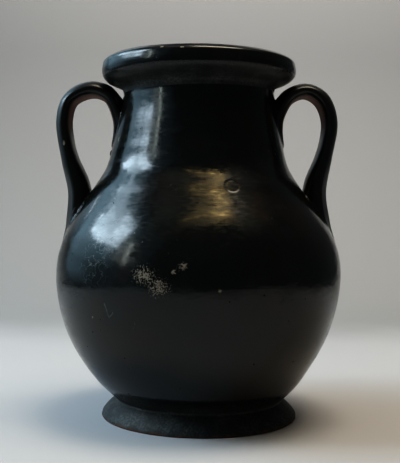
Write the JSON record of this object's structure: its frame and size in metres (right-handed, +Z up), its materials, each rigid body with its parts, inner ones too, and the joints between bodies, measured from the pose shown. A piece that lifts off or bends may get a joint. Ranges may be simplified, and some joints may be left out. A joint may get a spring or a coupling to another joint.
{
  "type": "pelike",
  "caption": "Two-handled wheel-thrown jar with a full low belly, wide neck, rolled lip and foot ring, in worn black gloss.",
  "frame": {"origin": "on the surface that the foot stands on, below the middle of the object's bounding box; the foot's own centre is 2.8 mm to +X of it, because the jar leans to -X", "axes": "+Z up; the two handles are on the -X and +X sides; the front, as pictured, faces -Y"},
  "size_m": [0.1325, 0.1308, 0.1654],
  "materials": {
    "black_gloss": "fired black slip with a worn satin sheen over reddish clay"
  },
  "bodies": {
    "root": {"pelike": "black_gloss"}
  },
  "joints": []
}
